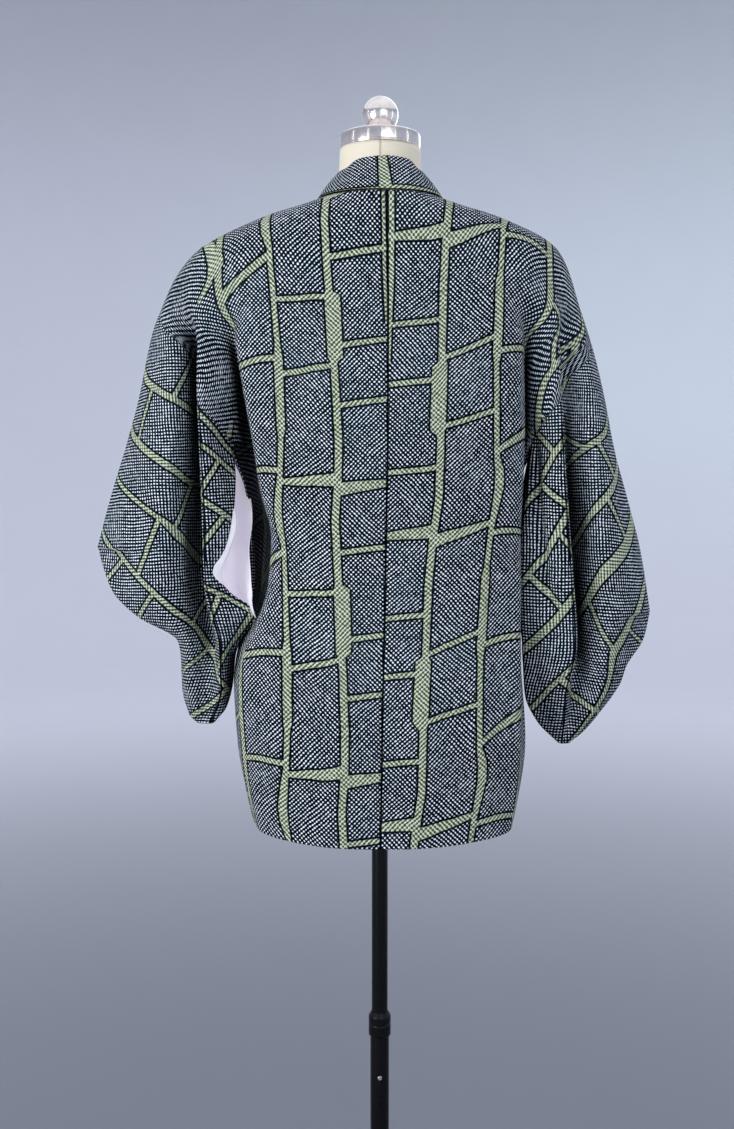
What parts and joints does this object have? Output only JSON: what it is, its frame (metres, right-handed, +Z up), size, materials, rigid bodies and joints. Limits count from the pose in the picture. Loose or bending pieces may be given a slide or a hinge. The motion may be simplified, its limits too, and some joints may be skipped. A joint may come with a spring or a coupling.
{
  "type": "haori jacket on dress form",
  "caption": "Thigh-length open-front haori jacket with deep open sleeves, hanging on a limbless dress form with a telescoping pole on a round base.",
  "frame": {"origin": "on the floor, at the centre of the round base under the pole", "axes": "+Z up along the pole, front of the jacket towards -Y, left sleeve towards +X"},
  "size_m": [0.7095, 0.32, 1.5915],
  "materials": {
    "tie_dyed_silk": "matte tie-dyed silk crepe",
    "white_habutai": "soft plain silk",
    "ivory_linen": "matte plain weave",
    "brushed_steel": "turned and brushed",
    "black_enamel": "satin black"
  },
  "bodies": {
    "stand": {"base": "black_enamel", "lower_tube": "black_enamel", "lock_collar": "black_enamel", "pin": "brushed_steel"},
    "form": {"upper_tube": "black_enamel", "torso": "ivory_linen", "neck_cap": "brushed_steel", "finial": "brushed_steel", "body_left": "tie_dyed_silk", "body_right": "tie_dyed_silk", "sleeve_left": "tie_dyed_silk", "sleeve_right": "tie_dyed_silk", "gusset_left": "tie_dyed_silk", "gusset_right": "tie_dyed_silk", "collar": "tie_dyed_silk", "lining_left": "white_habutai"}
  },
  "joints": [
    {"name": "pole_height", "type": "slide", "parent": "stand", "child": "form", "axis": [0, 0, 1], "range_m": [-0.055, 0.2]}
  ]
}
